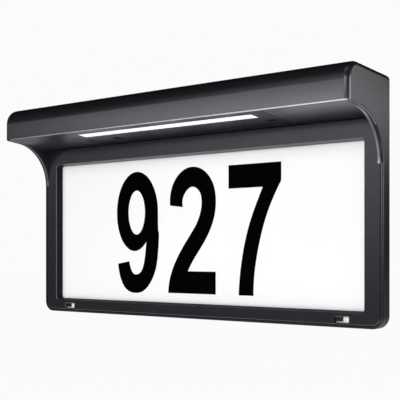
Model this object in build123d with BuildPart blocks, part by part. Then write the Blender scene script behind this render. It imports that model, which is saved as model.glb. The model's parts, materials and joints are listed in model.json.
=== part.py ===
from build123d import *
from math import atan, cos, degrees, radians, sin, tan
import os

os.makedirs("parts", exist_ok=True)

# Illuminated house number sign for a wall, with a hood over a lit number panel.
# All sizes are in millimetres. X points right, Y points back to the wall and Z up.
# The origin is the centre of the wall face. Heights are measured from the bottom edge.

# Outer housing
sign_width = 320.0
body_depth = 9.2            # wall face to the face of the front frame
hood_depth = 52.5           # wall face to the front of the hood
ceiling_rise = 4.54         # from the crease, where the ceiling meets the front frame, to the lip
roof_rise = 3.85            # from the wall to the front, before the front corner is rounded
cheek_radius = 33.5
roof_front_radius = 12.0
hood_corner_radius = 3.5
corner_radius = 8.5
back_edge_radius = 1.2
rim_radius = 0.8
shell_wall = 1.8
fit_gap = 0.4               # gap round every moulding that drops into the housing

# Front frame
side_rail = 13.7
bottom_rail = 9.8
top_rail = 13.0             # window to the crease
window_height = 113.0
window_corner = 3.0
window_draft = 1.1          # how far each recess wall leans in
face_wall = 2.0
frame_wall = 1.4
edge_radius = 0.4

# Number plate and digits
plate_thickness = 1.5
plate_lap = 2.3             # how far the plate reaches past the recess walls
pad_thickness = 0.4
pad_length = 14.0
pad_height = 6.0
digit_rise = 8.5            # window's lower edge to the foot of the digits
digit_drop = 10.5           # window's upper edge to the top of the digits
digit_thickness = 0.2
nine_x = -58.6
two_x = -2.6
seven_x = 54.9

# Hood liner
liner_wall = 1.8
cheek_wall = 1.7
liner_upstand_height = 4.2  # rear upstand above the crease
liner_upstand_wall = 1.2
liner_lip_height = 6.0
liner_lip_wall = 1.0

# Solar panel in the roof
panel_end = 15.0            # side of the sign to the end of the panel
panel_width = 31.0
panel_setback = 21.5        # wall face to the middle of the panel, along the roof
panel_recess = 2.4
panel_floor = 1.6
seal_width = 1.2
seal_drop = 0.3             # top of the glass to the top of the seal
backing_thickness = 1.0
cell_thickness = 0.2
glass_thickness = 1.1
glass_chamfer = 0.3
strip_count = 12
strip_gap = 1.0
strip_margin = 2.0

# Battery
cell_radius = 7.1
cell_length = 50.5
cell_pitch = 15.0
cell_play = 0.1             # under each cell
cell_side_play = 0.3
cell_cap = 1.0              # raised end of a cell
cell_cap_radius = 2.84
battery_headroom = 2.25     # top of the cells to the underside of the panel's tray
holder_wall = 1.4
holder_side_height = 8.0
holder_gap = 0.58           # liner to the underside of the holder
holder_front_gap = 0.5
holder_side_gap = 0.85
rib_spacing = 40.0          # between the two ribs under the holder
rib_inset = 2.0
contact_thickness = 0.4
contact_width = 9.0
contact_height = 10.0
contact_drop = 2.0          # middle of a cell to the middle of its contacts
contact_dimple_radius = 2.4
contact_play = 1.0

# Light cover in the ceiling, measured along the slope from the crease
cover_end = 12.5            # end of the lens to the end of the cover
cover_back_margin = 2.9     # control board to the back edge of the cover
cover_seam = 0.4
light_cover_wall = 1.8
lens_battery_gap = 17.05    # end of the lens to the battery holder
lens_width = 8.6
lens_front_margin = 5.92
lens_seam = 0.2
lens_flange = 1.0
lens_flange_margin = 1.0
cover_screw_inset = 8.1
cover_screw_offset = 1.0    # middle of the control board to the cover's screws
cover_screw_head_radius = 2.7
cover_screw_sink = 1.2
ear_height = 3.0
ear_length = 16.0
ear_width = 11.0
ledge_overlap = 3.0
ledge_back_overlap = 1.2
ledge_height = 1.4

# Light source
reflector_height = 5.0
reflector_wall = 1.2
reflector_lip = 0.5         # lens flange to the outside of the reflector
led_board_thickness = 1.2
led_count = 24
led_margin = 2.0
led_length = 3.0
led_width = 2.8
led_height = 0.8

# Control board over the light cover
board_end_gap = 12.6        # end of the cover to the end of the board
board_gap = 0.4             # reflector to the board
board_length = 56.0
board_width = 15.0
board_thickness = 1.6
board_post_radius = 2.2
board_post_inset = 3.0
board_screw_radius = 0.9
board_screw_length = 4.0
board_screw_head = 1.7
board_screw_head_height = 1.0
post_bore_depth = 5.0

# Mode button and its switch
button_offset = -5.0        # middle of the board to the middle of the button
button_back = 3.5
button_radius = 4.5
button_gap = 0.4
button_sink = 0.5           # cap below the surface of the light cover
button_travel = 1.0
button_edge = 0.4
button_flange_radius = 5.6
button_flange_height = 0.8
button_flange_gap = 0.1
button_stem_radius = 1.5
button_stem_top = 4.1
plunger_radius = 1.2
plunger_length = 2.1
plunger_gap = 0.12
switch_width = 6.2
switch_gap = 0.1            # pressed button to the switch
switch_height = 3.5
switch_bore_depth = 2.6

# Back cover
cover_low_wall = 1.1
cover_hood_wall = 2.0
cover_step = 1.6            # crease to the step in the cover's thickness
cover_gap = 0.3
gasket_thickness = 1.0
gasket_width = 1.7
gasket_rise = 2.2           # crease to the bottom of the gasket
gasket_gap = 0.3
seat_width = 2.6
seat_wall = 1.2
keyhole_spacing = 200.0
keyhole_lift = 9.9          # crease to the entry of a keyhole
keyhole_radius = 4.2
keyhole_slot_radius = 2.4
pocket_wall = 1.2
pocket_depth = 4.8
pocket_margin = 1.0
pocket_gap = 0.24           # pocket to the gasket's seat
head_play = 0.1

# Catches in the bottom rail
catch_inset = 30.2          # side of the sign to the middle of a catch
catch_window_width = 10.4
catch_travel = 5.0
slide_length = 14.0
slide_base = 2.8
slide_headroom = 0.8        # top of a slide to the window's flange
slide_overlap = 0.4         # how far a slide reaches above and below its window
slide_thickness = 1.8
slide_play = 0.2            # running clearance of a slide, front and back
tongue_length = 7.0
tongue_root = 2.0
tongue_drop = 1.0
tongue_thickness = 1.4
tongue_step = 0.4
nib_width = 4.6
nib_height = 2.8
nib_inset = 0.8             # nib front below the face of the frame
nib_top_gap = 0.3
nib_side_gap = 0.5          # nib to the left edge of its window when locked
nib_chamfer = 0.25
keeper_width = 4.0
keeper_height = 4.4
keeper_thickness = 1.4
keeper_gap = 0.4
rib_width = 4.0
rib_offset = 2.5            # middle of a catch to its guide rib

# Back cover screws
boss_radius = 2.6
boss_length = 7.0
boss_gap = 0.1
pilot_radius = 0.85
pilot_depth = 5.2
screw_radius = 0.8
screw_gap = 0.3             # round the shank in the cover
screw_head_radius = 1.9
screw_head_gap = 0.15
screw_head_height = 1.0
screw_length = 5.4
screw_sink = 0.05
slot_length = 2.0
slot_width = 0.5
slot_depth = 0.5
big_slot_length = 3.2
big_slot_width = 0.7
side_site_low = 35.0
side_site_high = 95.0
rail_site_x = 75.0
liner_site_x = 35.0
liner_site_gap = 25.0       # keyhole to the screw beside it
liner_site_lift = 7.7
roof_site_x = 50.0
roof_site_inset = 18.2
roof_site_drop = 8.4

# Leads
lead_radius = 0.9
lead_bend = 3.5
led_lead_bend = 2.4
lead_gap = 0.1              # solder under the end of a lead
lead_lift = 2.0             # middle of the cells to the leads' height across the hood
led_lead_lift = 3.6
board_lead_x = 20.4         # board's middle to the ends of the leads
led_lead_x = -19.5
led_lead_start = 3.2
led_lead_end = 5.2
solar_lead_run = 21.6
solar_lead_forward = 1.4    # middle of the board to the lead's hole in the roof
solar_lead_offset = 3.0
battery_lead_offset = 4.0

# Widths worked out from the sizes above
half_width = sign_width / 2
inner_half_width = half_width - shell_wall
drop_half_width = inner_half_width - fit_gap
drop_base = shell_wall + fit_gap
window_width = sign_width - 2 * side_rail
panel_length = sign_width - 2 * panel_end
catch_x = half_width - catch_inset
holder_length = cell_length + 2 * (contact_thickness + contact_play + holder_wall)
holder_width = cell_pitch + 2 * (cell_radius + cell_side_play + holder_wall)
battery_x = drop_half_width - cheek_wall - holder_side_gap - holder_length / 2
lens_length = 2 * (battery_x - holder_length / 2 - lens_battery_gap)
cover_length = lens_length + 2 * cover_end
cover_screw_x = cover_length / 2 - cover_screw_inset
reflector_length = lens_length + 2 * lens_flange_margin
reflector_width = lens_width + 2 * lens_flange_margin + 2 * reflector_lip
board_x = board_end_gap + board_length / 2 - cover_length / 2
button_x = board_x + button_offset
lead_x = board_x + board_lead_x
solar_lead_x = lead_x + solar_lead_run
led_x = board_x + led_lead_x

# Depths in front of the wall face
plate_back = cover_low_wall + pad_thickness
plate_front = plate_back + plate_thickness
recess_depth = body_depth - plate_front
gasket_seat = cover_hood_wall + gasket_thickness
liner_front = hood_depth - shell_wall - fit_gap
lip_back = liner_front - liner_lip_wall
holder_front = lip_back - holder_front_gap
battery_forward = holder_front - holder_width / 2
slide_front = body_depth - face_wall - slide_play
slide_back = slide_front - slide_thickness
tongue_front = slide_back - tongue_step
tongue_back = tongue_front - tongue_thickness

# Slopes, and distances along the ceiling from the crease
slope = atan(ceiling_rise / (hood_depth - body_depth))
roof_slope = atan(roof_rise / hood_depth)
cover_front = (liner_front - body_depth) / cos(slope)
lens_forward = cover_front - lens_front_margin - lens_width / 2
board_forward = lens_forward - reflector_width / 2 - board_gap - board_width / 2
cover_back = board_forward - board_width / 2 - cover_back_margin
cover_screw_forward = board_forward - cover_screw_offset
button_forward = board_forward - button_back
solar_lead_setback = body_depth + board_forward + solar_lead_forward

# Heights above the bottom edge
window_bottom = bottom_rail
window_top = bottom_rail + window_height
window_middle = (window_top + window_bottom) / 2
crease_height = window_top + top_rail
frame_top = crease_height - fit_gap
lip_height = crease_height + ceiling_rise
digit_base = window_bottom + digit_rise
digit_height = window_top - digit_drop - digit_base
slide_height = bottom_rail - frame_wall - slide_headroom - slide_base
catch_window_base = slide_base + slide_overlap
catch_window_height = slide_height - 2 * slide_overlap
holder_base = (
    crease_height
    + (holder_front - body_depth) * tan(slope)
    + liner_wall / cos(slope)
    + holder_gap
)
holder_floor = holder_base + holder_wall
battery_height = holder_floor + cell_play + cell_radius
tray_wall = panel_recess + panel_floor
rear_cell_depth = battery_forward - cell_pitch / 2
roof_back_height = (
    battery_height
    + cell_radius
    + battery_headroom
    + tray_wall / cos(roof_slope)
    - rear_cell_depth * tan(roof_slope)
)
roof_front_height = roof_back_height + roof_rise
origin_height = roof_back_height / 2
lead_height = battery_height + lead_lift

# Heights above the ceiling's lower surface
button_flange_base = light_cover_wall + button_flange_gap
switch_base = button_stem_top + button_travel + switch_gap
board_base = switch_base + switch_height
led_top = light_cover_wall + lens_flange + reflector_height + led_board_thickness


def up(height):
    """Z of a height above the bottom edge."""
    return height - origin_height


def roof_height(depth):
    """Height of the roof at a distance in front of the wall face."""
    return roof_back_height + depth * tan(roof_slope)


def ceiling_height(depth):
    """Height of the ceiling at a distance in front of the wall face."""
    return crease_height + (depth - body_depth) * tan(slope)


def front_plane(depth):
    """Plane that faces the viewer; its axes are X and the height."""
    return Plane(origin=(0, -depth, up(0)), x_dir=(1, 0, 0), z_dir=(0, -1, 0))


def save(part, name):
    """Label one finished piece and write it."""
    part.label = name
    export_step(part, f"parts/{name}.step")


# The ceiling's plane lies on its lower surface, with local Y pointing back from the crease.
ceiling = Plane(
    origin=(0, -body_depth, up(crease_height)),
    x_dir=(1, 0, 0),
    z_dir=(0, sin(slope), cos(slope)),
)
roof = Plane(
    origin=(0, 0, up(roof_back_height)),
    x_dir=(1, 0, 0),
    z_dir=(0, sin(roof_slope), cos(roof_slope)),
)

# Keyholes, whose pockets end below the gasket's seat
keyhole_height = crease_height + keyhole_lift
seat_under = roof_height(gasket_seat) - shell_wall - seat_width
pocket_top = seat_under - pocket_gap - pocket_wall
keyhole_rise = pocket_top - head_play - keyhole_radius - keyhole_height
keyhole_xs = [-keyhole_spacing / 2, keyhole_spacing / 2]

# Screw sites of the back cover, as X and height
plate_half_width = window_width / 2 - window_draft + plate_lap
plate_base = window_bottom + window_draft - plate_lap
plate_top = window_top - window_draft + plate_lap
side_rail_x = (window_width / 2 + drop_half_width) / 2
top_rail_height = (window_top + frame_top) / 2
low_rail_height = (drop_base + window_bottom) / 2
low_boss_radius = plate_base - low_rail_height - fit_gap + boss_gap
roof_outer_x = inner_half_width - roof_site_inset
liner_outer_x = keyhole_spacing / 2 + liner_site_gap
rail_sites = [(x, h) for x in (-side_rail_x, side_rail_x) for h in (side_site_low, side_site_high)]
rail_sites += [(x, top_rail_height) for x in (-rail_site_x, rail_site_x)]
low_sites = [(x, low_rail_height) for x in (-rail_site_x, rail_site_x)]
liner_sites = [
    (x, crease_height + liner_site_lift)
    for x in (-liner_outer_x, -liner_site_x, liner_site_x, liner_outer_x)
]
roof_sites = [
    (x, roof_back_height - roof_site_drop)
    for x in (-roof_outer_x, -roof_site_x, roof_site_x, roof_outer_x)
]
cover_sites = rail_sites + low_sites + liner_sites + roof_sites


# Outer housing: one moulded shell with roof, hood front, cheeks and bottom wall
with BuildPart() as housing_cavity:
    with BuildSketch(Plane.YZ) as cavity_profile:
        roof_wall = shell_wall / cos(roof_slope)
        inner_front = hood_depth - shell_wall
        with BuildLine():
            Polyline(
                (1, up(shell_wall)),
                (-inner_front, up(shell_wall)),
                (-inner_front, up(roof_height(inner_front) - roof_wall)),
                (1, up(roof_height(-1) - roof_wall)),
                close=True,
            )
        make_face()
        inner_corner = cavity_profile.vertices().sort_by_distance((-inner_front, up(roof_front_height)))[0]
        fillet(inner_corner, roof_front_radius - shell_wall)
    extrude(amount=inner_half_width, both=True)
    fillet(housing_cavity.edges().filter_by(Axis.Y).group_by(Axis.Z)[0], corner_radius - shell_wall)

panel_opening = (panel_length + 2 * seal_width, panel_width + 2 * seal_width)

with BuildPart() as outer_housing:
    with BuildSketch(Plane.YZ) as side_profile:
        with BuildLine():
            Polyline(
                (0, up(0)),
                (-body_depth, up(0)),
                (-body_depth, up(crease_height)),
                (-hood_depth, up(lip_height)),
                (-hood_depth, up(roof_front_height)),
                (0, up(roof_back_height)),
                close=True,
            )
        make_face()
        crease_corner = side_profile.vertices().sort_by_distance((-body_depth, up(crease_height)))[0]
        fillet(crease_corner, cheek_radius)
        roof_corner = side_profile.vertices().sort_by_distance((-hood_depth, up(roof_front_height)))[0]
        fillet(roof_corner, roof_front_radius)
    extrude(amount=half_width, both=True)
    fillet(outer_housing.edges().filter_by(Axis.Y).group_by(Axis.Z)[0], corner_radius)

    side_edges = outer_housing.faces().filter_by(Axis.X).edges()
    hood_edges = side_edges.filter_by(
        lambda e: e.center().Z > up(lip_height) and e.center().Y < -back_edge_radius
    )
    fillet(hood_edges, hood_corner_radius)
    fillet(outer_housing.faces().sort_by(Axis.Y)[-1].edges(), back_edge_radius)

    frame_face = outer_housing.faces().filter_by(Axis.Y).sort_by(Axis.Y)[1]
    underside = outer_housing.faces().filter_by(ceiling)[0]
    cheek_arc = outer_housing.faces().filter_by(
        lambda f: f.geom_type == GeomType.CYLINDER and abs(f.radius - cheek_radius) < 0.01
    )[0]
    front_edges = ShapeList(frame_face.edges() + underside.edges() + cheek_arc.edges())
    across = front_edges.filter_by(Axis.X)
    rim_edges = front_edges.filter_by(Axis.X, reverse=True)
    rim_edges += [across.sort_by(Axis.Z)[0], across.sort_by(Axis.Y)[0]]
    fillet(rim_edges, rim_radius)

    add(housing_cavity.part, mode=Mode.SUBTRACT)

    # Tray that holds the solar panel, with a hole for its lead
    with BuildSketch(roof):
        with Locations((0, -panel_setback)):
            Rectangle(panel_opening[0] + 2 * shell_wall, panel_opening[1] + 2 * shell_wall)
    extrude(amount=-tray_wall)
    with BuildSketch(roof):
        with Locations((0, -panel_setback)):
            Rectangle(*panel_opening)
    extrude(amount=-panel_recess, mode=Mode.SUBTRACT)
    with BuildSketch(roof):
        with Locations((solar_lead_x, -solar_lead_setback)):
            Circle(lead_radius + fit_gap)
    extrude(amount=-tray_wall, mode=Mode.SUBTRACT)

    # Seat of the back cover's gasket, round the hood compartment
    seat_floor = crease_height + liner_wall + boss_gap
    seat_top = roof_height(gasket_seat) - shell_wall / 2
    with BuildSketch(front_plane(gasket_seat)):
        with Locations((0, (seat_floor + seat_top) / 2)):
            Rectangle(2 * inner_half_width + shell_wall, seat_top - seat_floor)
        with Locations((0, seat_under)):
            Rectangle(
                2 * (inner_half_width - seat_width),
                2 * (seat_top - seat_floor),
                align=(Align.CENTER, Align.MAX),
                mode=Mode.SUBTRACT,
            )
    extrude(amount=seat_wall)

    # Bosses that hang from the roof near the wall
    boss_block = 2 * boss_radius
    with BuildSketch(front_plane(gasket_seat + seat_wall)):
        for x, height in roof_sites:
            with Locations((x, height - boss_radius)):
                Rectangle(
                    boss_block,
                    roof_back_height - panel_recess - panel_floor / 2 - height + boss_radius,
                    align=(Align.CENTER, Align.MIN),
                )
    extrude(amount=boss_length - seat_wall)
    with BuildSketch(front_plane(cover_hood_wall + boss_gap)):
        with Locations(*roof_sites):
            Circle(boss_radius)
    extrude(amount=boss_length)
    with BuildSketch(front_plane(cover_hood_wall + boss_gap)):
        with Locations(*roof_sites):
            Circle(pilot_radius)
    extrude(amount=pilot_depth, mode=Mode.SUBTRACT)

    # Keepers that stand on the bottom wall in front of the catch tongues
    keeper_back = tongue_front + keeper_gap
    tongue_start = tongue_root - slide_length / 2 - tongue_length
    keeper_x = tongue_start + keeper_width / 2
    with BuildSketch(front_plane(keeper_back)):
        for side in (-1, 1):
            with Locations((side * catch_x + keeper_x, shell_wall / 2)):
                Rectangle(
                    keeper_width,
                    shell_wall / 2 + keeper_height,
                    align=(Align.CENTER, Align.MIN),
                )
    extrude(amount=keeper_thickness)
save(outer_housing.part, "outer_housing")


# Solar panel: backing board, dark cells and a clear laminate on top
panel_floor_plane = roof.offset(-panel_recess)
with BuildPart() as solar_backing:
    with BuildSketch(panel_floor_plane):
        with Locations((0, -panel_setback)):
            Rectangle(panel_length, panel_width)
    extrude(amount=backing_thickness)
save(solar_backing.part, "solar_backing")

strip_step = (panel_length - 2 * strip_margin + strip_gap) / strip_count
with BuildPart() as solar_cells:
    with BuildSketch(panel_floor_plane.offset(backing_thickness)):
        with Locations((0, -panel_setback)):
            with GridLocations(strip_step, 0, strip_count, 1):
                Rectangle(strip_step - strip_gap, panel_width - 2 * strip_margin)
    extrude(amount=cell_thickness)
save(solar_cells.part, "solar_cells")

with BuildPart() as solar_glass:
    with BuildSketch(panel_floor_plane.offset(backing_thickness + cell_thickness)):
        with Locations((0, -panel_setback)):
            Rectangle(panel_length, panel_width)
    extrude(amount=glass_thickness)
    chamfer(solar_glass.faces().sort_by(Axis.Z)[-1].edges(), glass_chamfer)
save(solar_glass.part, "solar_glass")

with BuildPart() as solar_seal:
    with BuildSketch(panel_floor_plane):
        with Locations((0, -panel_setback)):
            Rectangle(*panel_opening)
            Rectangle(panel_length, panel_width, mode=Mode.SUBTRACT)
    extrude(amount=backing_thickness + cell_thickness + glass_thickness - seal_drop)
save(solar_seal.part, "solar_seal")


# Hood liner: ceiling plate with a front flange and a rear upstand
ear_x = cover_length / 2 + cover_seam - ear_length / 2 + ledge_overlap
opening_back = cover_back - cover_seam
with BuildPart() as hood_liner:
    with BuildSketch(Plane.YZ):
        upper = liner_wall / cos(slope)
        rear = gasket_seat
        with BuildLine():
            Polyline(
                (-liner_front, up(ceiling_height(liner_front))),
                (-body_depth, up(crease_height)),
                (-rear, up(crease_height)),
                (-rear, up(crease_height + liner_upstand_height)),
                (-rear - liner_upstand_wall, up(crease_height + liner_upstand_height)),
                (-rear - liner_upstand_wall, up(crease_height + upper)),
                (-body_depth, up(crease_height + upper)),
                (-lip_back, up(ceiling_height(lip_back) + upper)),
                (-lip_back, up(ceiling_height(lip_back) + liner_lip_height)),
                (-liner_front, up(ceiling_height(lip_back) + liner_lip_height)),
                close=True,
            )
        make_face()
    extrude(amount=drop_half_width, both=True)

    # Room for the legs of the gasket seat
    with BuildSketch(front_plane(gasket_seat - 1)):
        for side in (-1, 1):
            with Locations((side * inner_half_width, crease_height + liner_wall)):
                Rectangle(
                    2 * (seat_width + fit_gap),
                    liner_upstand_height,
                    align=(Align.CENTER, Align.MIN),
                )
    extrude(amount=seat_wall + 2, mode=Mode.SUBTRACT)

    # Opening for the light cover, with a ledge and two screw ears above it
    with BuildSketch(ceiling.offset(-1)):
        with Locations((0, -opening_back)):
            Rectangle(
                cover_length + 2 * cover_seam,
                2 * cover_front,
                align=(Align.CENTER, Align.MAX),
            )
    extrude(amount=liner_wall + 1, mode=Mode.SUBTRACT)
    with BuildSketch(ceiling.offset(liner_wall)):
        ledge_front = cover_front - liner_lip_wall - fit_gap
        with Locations((0, ledge_overlap - opening_back)):
            Rectangle(
                cover_length + 2 * ledge_overlap,
                ledge_front - opening_back + ledge_overlap,
                align=(Align.CENTER, Align.MAX),
            )
        with Locations((0, -opening_back - ledge_back_overlap)):
            Rectangle(
                cover_length - 2 * ledge_overlap,
                hood_depth,
                align=(Align.CENTER, Align.MAX),
                mode=Mode.SUBTRACT,
            )
    extrude(amount=ledge_height)
    with BuildSketch(ceiling.offset(liner_wall)):
        with Locations((-ear_x, -cover_screw_forward), (ear_x, -cover_screw_forward)):
            Rectangle(ear_length, ear_width)
    extrude(amount=ear_height)
    with BuildSketch(ceiling.offset(liner_wall)):
        with Locations((-cover_screw_x, -cover_screw_forward), (cover_screw_x, -cover_screw_forward)):
            Circle(pilot_radius)
    extrude(amount=ear_height, mode=Mode.SUBTRACT)

    # Bosses for the back cover on the rear of the ceiling
    with BuildSketch(front_plane(cover_hood_wall + boss_gap)):
        with Locations(*liner_sites):
            Circle(boss_radius)
    extrude(amount=boss_length)
    with BuildSketch(front_plane(gasket_seat + liner_upstand_wall)):
        for x, height in liner_sites:
            with Locations((x, crease_height + liner_wall / 2)):
                Rectangle(
                    2 * boss_radius,
                    height - crease_height - liner_wall / 2,
                    align=(Align.CENTER, Align.MIN),
                )
    extrude(amount=boss_length + boss_gap - seat_wall)
    with BuildSketch(front_plane(cover_hood_wall + boss_gap)):
        with Locations(*liner_sites):
            Circle(pilot_radius)
    extrude(amount=pilot_depth, mode=Mode.SUBTRACT)

    # Two ribs that carry the battery holder
    rib_back = battery_forward - holder_width / 2 + rib_inset
    rib_front = holder_front - rib_inset
    for x in (battery_x - rib_spacing / 2, battery_x + rib_spacing / 2):
        with BuildSketch(Plane.YZ.offset(x)):
            with BuildLine():
                Polyline(
                    (-rib_back, up(ceiling_height(rib_back) + liner_wall / 2)),
                    (-rib_front, up(ceiling_height(rib_front) + liner_wall / 2)),
                    (-rib_front, up(holder_base)),
                    (-rib_back, up(holder_base)),
                    close=True,
                )
            make_face()
        extrude(amount=liner_upstand_wall, both=True)
save(hood_liner.part, "hood_liner")

# Cheek inserts: they fill the corners under the ceiling back from the housing's arcs
corner_length = cheek_radius / tan((radians(90) + slope) / 2)
arc_centre = (-body_depth - cheek_radius, up(crease_height - corner_length))
with BuildPart() as cheek_inserts:
    for side in (-1, 1):
        with BuildSketch(Plane.YZ.offset(side * (drop_half_width - cheek_wall / 2))):
            with BuildLine():
                cheek_edge = CenterArc(arc_centre, cheek_radius, 0, 90 - degrees(slope))
                Line(cheek_edge @ 1, (-body_depth, up(crease_height)))
                Line((-body_depth, up(crease_height)), cheek_edge @ 0)
            make_face()
        extrude(amount=cheek_wall / 2, both=True)
save(cheek_inserts.part, "cheek_inserts")


# Front frame: a face with a recessed window, hollow behind
outline_height = frame_top - drop_base
outline_middle = (frame_top + drop_base) / 2
drop_corner = corner_radius - shell_wall - fit_gap
with BuildPart() as front_frame:
    with BuildSketch(front_plane(plate_front)) as frame_outline:
        with Locations((0, outline_middle)):
            Rectangle(2 * drop_half_width, outline_height)
        fillet(frame_outline.vertices().group_by(Axis.Y)[0], drop_corner)
    extrude(amount=recess_depth)

    with BuildSketch(front_plane(plate_front)) as channel:
        with Locations((0, outline_middle)):
            Rectangle(2 * (drop_half_width - frame_wall), outline_height - 2 * frame_wall)
        fillet(channel.vertices().group_by(Axis.Y)[0], drop_corner - frame_wall)
        with Locations((0, window_middle)):
            Rectangle(
                window_width + 2 * frame_wall,
                window_height + 2 * frame_wall,
                mode=Mode.SUBTRACT,
            )
    extrude(amount=recess_depth - face_wall, mode=Mode.SUBTRACT)

    with BuildSketch(front_plane(body_depth)):
        with Locations((0, window_middle)):
            RectangleRounded(window_width, window_height, window_corner)
    with BuildSketch(front_plane(plate_front)):
        with Locations((0, window_middle)):
            RectangleRounded(
                window_width - 2 * window_draft,
                window_height - 2 * window_draft,
                window_corner - window_draft,
            )
    loft(mode=Mode.SUBTRACT)

    # Catch windows, and room behind them for the slides and the keepers
    catch_room = slide_length + 2 * (tongue_length + tongue_root)
    with BuildSketch(front_plane(body_depth)):
        with Locations((-catch_x, catch_window_base), (catch_x, catch_window_base)):
            Rectangle(
                catch_window_width,
                catch_window_height,
                align=(Align.CENTER, Align.MIN),
            )
    extrude(amount=-face_wall, mode=Mode.SUBTRACT)
    with BuildSketch(front_plane(plate_front)):
        with Locations((-catch_x, 0), (catch_x, 0)):
            Rectangle(
                catch_room,
                drop_base + frame_wall + boss_gap,
                align=(Align.CENTER, Align.MIN),
            )
    extrude(amount=recess_depth - face_wall, mode=Mode.SUBTRACT)

    # Bosses for the back cover
    frame_boss = body_depth - face_wall / 2 - cover_low_wall - boss_gap
    with BuildSketch(front_plane(cover_low_wall + boss_gap)):
        with Locations(*rail_sites):
            Circle(boss_radius)
        with Locations(*low_sites):
            Circle(low_boss_radius)
    extrude(amount=frame_boss)
    with BuildSketch(front_plane(cover_low_wall + boss_gap)):
        with Locations(*rail_sites, *low_sites):
            Circle(pilot_radius)
    extrude(amount=pilot_depth, mode=Mode.SUBTRACT)
    fillet(front_frame.faces().sort_by(Axis.Y)[0].edges(), edge_radius)
save(front_frame.part, "front_frame")


# Number plate, and the foam pads that press it against the frame
with BuildPart() as number_plate:
    with BuildSketch(front_plane(plate_back)):
        with Locations((0, (plate_base + plate_top) / 2)):
            Rectangle(2 * plate_half_width, plate_top - plate_base)
    extrude(amount=plate_thickness)
save(number_plate.part, "number_plate")

with BuildPart() as plate_pads:
    with BuildSketch(front_plane(cover_low_wall)):
        with Locations((0, window_middle)):
            with GridLocations(
                (window_width - 2 * pad_length) / 2, window_height - 2 * pad_height, 3, 2
            ):
                Rectangle(pad_length, pad_height)
    extrude(amount=pad_thickness)
save(plate_pads.part, "plate_pads")


# Digits: die-cut film. Their outlines are drawn 94 units tall round a middle line.
unit = digit_height / 94


def at(x, y):
    """Point of a digit's outline."""
    return (unit * x, unit * y)


def digit_plane(x):
    """Plane on the front of the plate, at the foot of a digit."""
    return Plane(origin=(x, -plate_front, up(digit_base)), x_dir=(1, 0, 0), z_dir=(0, -1, 0))


with BuildPart() as digit_nine:
    with BuildSketch(digit_plane(nine_x)):
        with BuildLine():
            cap = EllipticalCenterArc(at(-0.8, 62.3), unit * 22.4, unit * 32.0, 0)
            bowl = EllipticalCenterArc(at(-0.8, 62.3), unit * 21.6, unit * 32.0, 90)
            chin = EllipticalCenterArc(at(-2.9, 62.3), unit * 19.5, unit * 30.3, 180)
            notch = Spline(chin @ 1, at(4.7, 34.7), at(9.4, 39.4), tangents=[(1, 0), (0.6, 1)])
            inner = Spline(notch @ 1, at(8.7, 31.7), at(6.1, 19.7), at(-1.4, 13.6), tangents=[(0, -1), (-1, 0)])
            hook = Spline(inner @ 1, at(-6.5, 16.9), at(-8.7, 23.9), tangents=[(-1, 0), (-0.1, 1)])
            end = Line(hook @ 1, at(-21.0, 21.9))
            foot = Spline(end @ 1, at(-16.9, 7.7), at(-1.9, -1.0), tangents=[(0.1, -1), (1, 0)])
            back = Spline(
                foot @ 1,
                at(7.8, 1.7),
                at(17.6, 13.7),
                at(21.1, 25.7),
                at(22.6, 46.7),
                cap @ 0,
                tangents=[(1, 0), (0, 1)],
            )
        make_face()
        with Locations(at(-0.8, 62.3)):
            Ellipse(unit * 8.9, unit * 17.3, mode=Mode.SUBTRACT)
    extrude(amount=digit_thickness)
save(digit_nine.part, "digit_nine")

with BuildPart() as digit_two:
    with BuildSketch(digit_plane(two_x)):
        with BuildLine():
            crown = EllipticalCenterArc(at(0.3, 69.7), unit * 22.3, unit * 25.3, arc_size=187)
            tip = Line(crown @ 1, at(-8.9, 65.1))
            hollow = Spline(
                tip @ 1,
                at(-6.0, 76.7),
                at(0.4, 80.1),
                at(7.5, 75.7),
                at(9.3, 67.7),
                at(7.5, 58.7),
                at(-4.5, 40.7),
                at(-17.0, 22.7),
                at(-23.6, 0),
            )
            base = Polyline(hollow @ 1, at(22.5, 0), at(22.5, 16.7), at(-4.2, 16.7))
            belly = Spline(base @ 1, at(1.6, 25.7), at(13.1, 40.7), at(19.6, 52.7), crown @ 0)
        make_face()
    extrude(amount=digit_thickness)
save(digit_two.part, "digit_two")

with BuildPart() as digit_seven:
    with BuildSketch(digit_plane(seven_x)):
        with BuildLine():
            bar = Polyline(at(7.4, 77.1), at(-23.0, 77.1), at(-23.0, 94.0), at(23.0, 94.0), at(23.0, 80.9))
            outer = Spline(
                bar @ 1,
                at(11.2, 58.7),
                at(3.6, 34.7),
                at(-0.8, 0),
                tangents=[(-0.62, -1), (0, -1)],
            )
            sole = Line(outer @ 1, at(-13.8, 0))
            shin = Spline(
                sole @ 1,
                at(-11.5, 22.7),
                at(-5.8, 46.7),
                bar @ 0,
                tangents=[(0.03, 1), (0.5, 1)],
            )
        make_face()
    extrude(amount=digit_thickness)
save(digit_seven.part, "digit_seven")


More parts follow.
